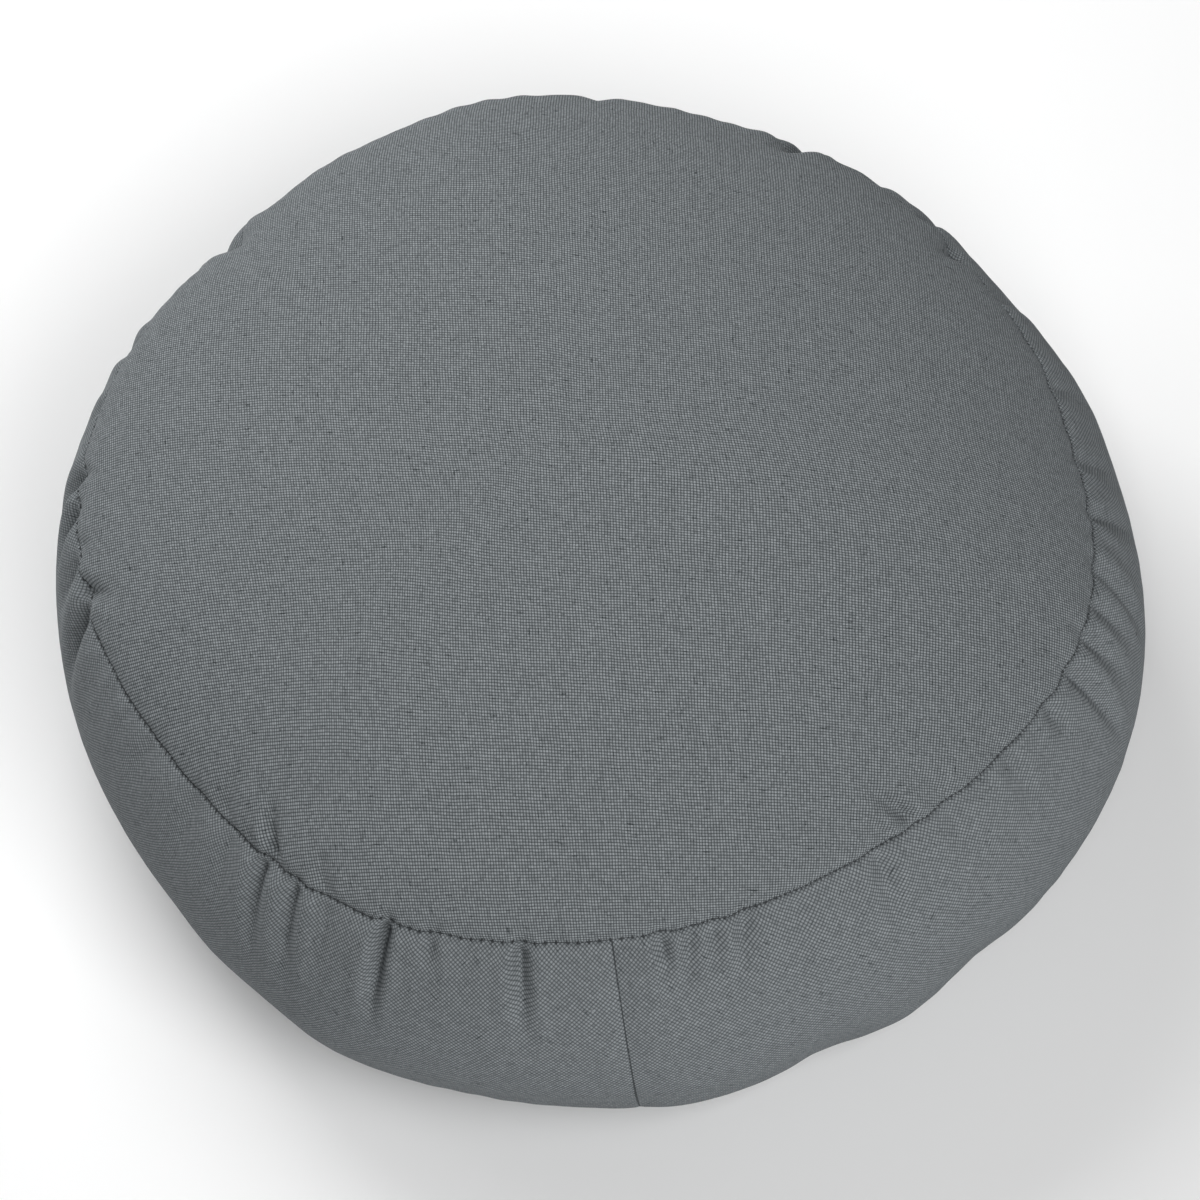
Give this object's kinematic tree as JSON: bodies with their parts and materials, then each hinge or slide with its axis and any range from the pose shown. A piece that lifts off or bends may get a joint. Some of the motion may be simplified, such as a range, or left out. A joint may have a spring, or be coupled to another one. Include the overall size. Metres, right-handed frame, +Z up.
{
  "type": "round seat cushion",
  "caption": "Plump round seat cushion in dark grey woven cloth, with a crowned top panel and one bulging, softly gathered side band.",
  "frame": {"origin": "middle of the cushion's outline, on the surface that it lies on", "axes": "+Z up, out of the top panel; the front, with the band's joining seam, is -Y; +X is right as seen from the front"},
  "size_m": [0.397, 0.421, 0.168],
  "materials": {
    "cover_cloth": "matt plain weave with a linen look, dark grey"
  },
  "bodies": {
    "root": {"cushion": "cover_cloth"}
  },
  "joints": []
}
